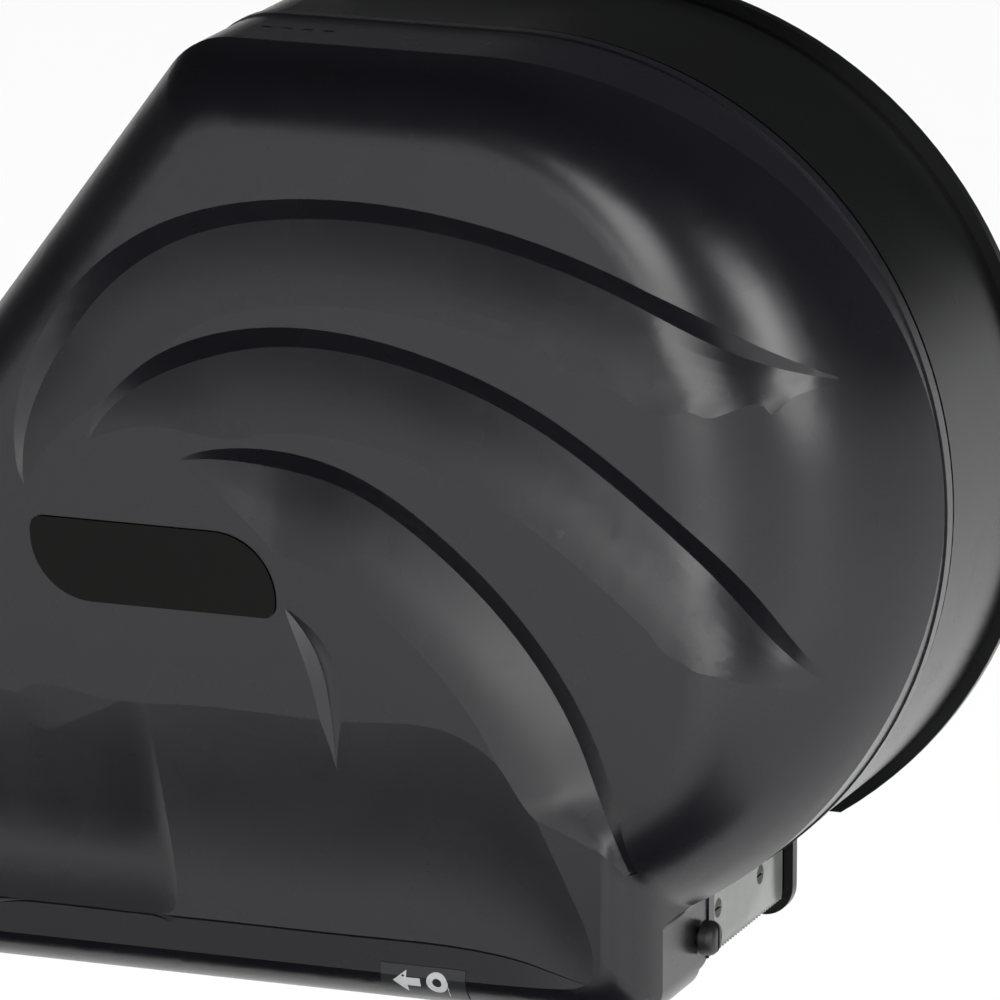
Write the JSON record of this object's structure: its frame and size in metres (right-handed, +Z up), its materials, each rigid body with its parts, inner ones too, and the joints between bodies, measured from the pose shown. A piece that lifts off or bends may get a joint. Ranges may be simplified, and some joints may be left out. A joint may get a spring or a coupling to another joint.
{
  "type": "toilet paper dispenser",
  "caption": "wall-mounted dispenser for a large toilet paper roll and a stub roll, with a swept-step hinged cover, sliding door, tear bars and key lock",
  "frame": {"origin": "middle of the four wall screws on the wall plane, where the main roll's axis meets the wall", "axes": "X runs right, Y runs into the wall and Z runs up, so the front faces -Y"},
  "size_m": [0.34, 0.1458, 0.304],
  "materials": {
    "cover_plastic": "smoke-dark moulded plastic, satin gloss",
    "housing_plastic": "smoke-dark moulded plastic",
    "badge_plastic": "bare black gloss",
    "sign_plastic": "dark grey with a light pictogram",
    "clear_plastic": "clear grey plastic",
    "frame_plastic": "dark moulded plastic",
    "spindle_plastic": "off-white moulded plastic",
    "door_plastic": "smoke-dark plastic sheet",
    "lock_plastic": "black moulded plastic",
    "steel": "zinc-plated steel"
  },
  "bodies": {
    "base": {"rear_housing": "housing_plastic", "main_post": "spindle_plastic", "main_post_screws": "steel", "main_ring": "steel", "stub_post": "spindle_plastic", "stub_post_screws": "steel", "stub_ring": "steel", "throat_frame": "frame_plastic", "frame_screws": "steel", "tear_bar_right": "clear_plastic", "tear_bar_left": "clear_plastic", "tear_bar_screws": "steel", "hinge_pin_right": "lock_plastic", "hinge_pin_left": "lock_plastic", "lock_case": "lock_plastic", "lock_case_screws": "steel", "latch_spring": "steel"},
    "cover": {"front_cover": "cover_plastic", "badge_plate": "badge_plastic", "sign_plate": "sign_plastic", "lock_strike": "steel", "strike_screws": "steel"},
    "main_spool": {"main_hub": "spindle_plastic", "main_hub_cap": "spindle_plastic"},
    "stub_spool": {"stub_hub": "spindle_plastic", "stub_hub_cap": "spindle_plastic"},
    "door": {"roll_door": "door_plastic", "door_grip": "door_plastic"},
    "latch": {"lock_latch": "lock_plastic"}
  },
  "joints": [
    {"name": "cover_hinge", "type": "hinge", "parent": "base", "child": "cover", "pos_m": [0, -0.092, -0.14], "axis": [1, 0, 0], "range_deg": [0, 100]},
    {"name": "main_spin", "type": "hinge", "parent": "base", "child": "main_spool", "pos_m": [0, -0.06, 0], "axis": [0, 1, 0], "continuous": true},
    {"name": "stub_spin", "type": "hinge", "parent": "base", "child": "stub_spool", "pos_m": [-0.14, -0.06, -0.096], "axis": [0, 1, 0], "continuous": true},
    {"name": "door_slide", "type": "slide", "parent": "base", "child": "door", "axis": [-1, 0, 0], "range_m": [0, 0.095]},
    {"name": "latch_slide", "type": "slide", "parent": "base", "child": "latch", "axis": [0, 0, 1], "range_m": [0, 0.005], "stiffness_N_per_m": 250, "springref_m": 0.009, "deforming": ["latch_spring"]}
  ]
}
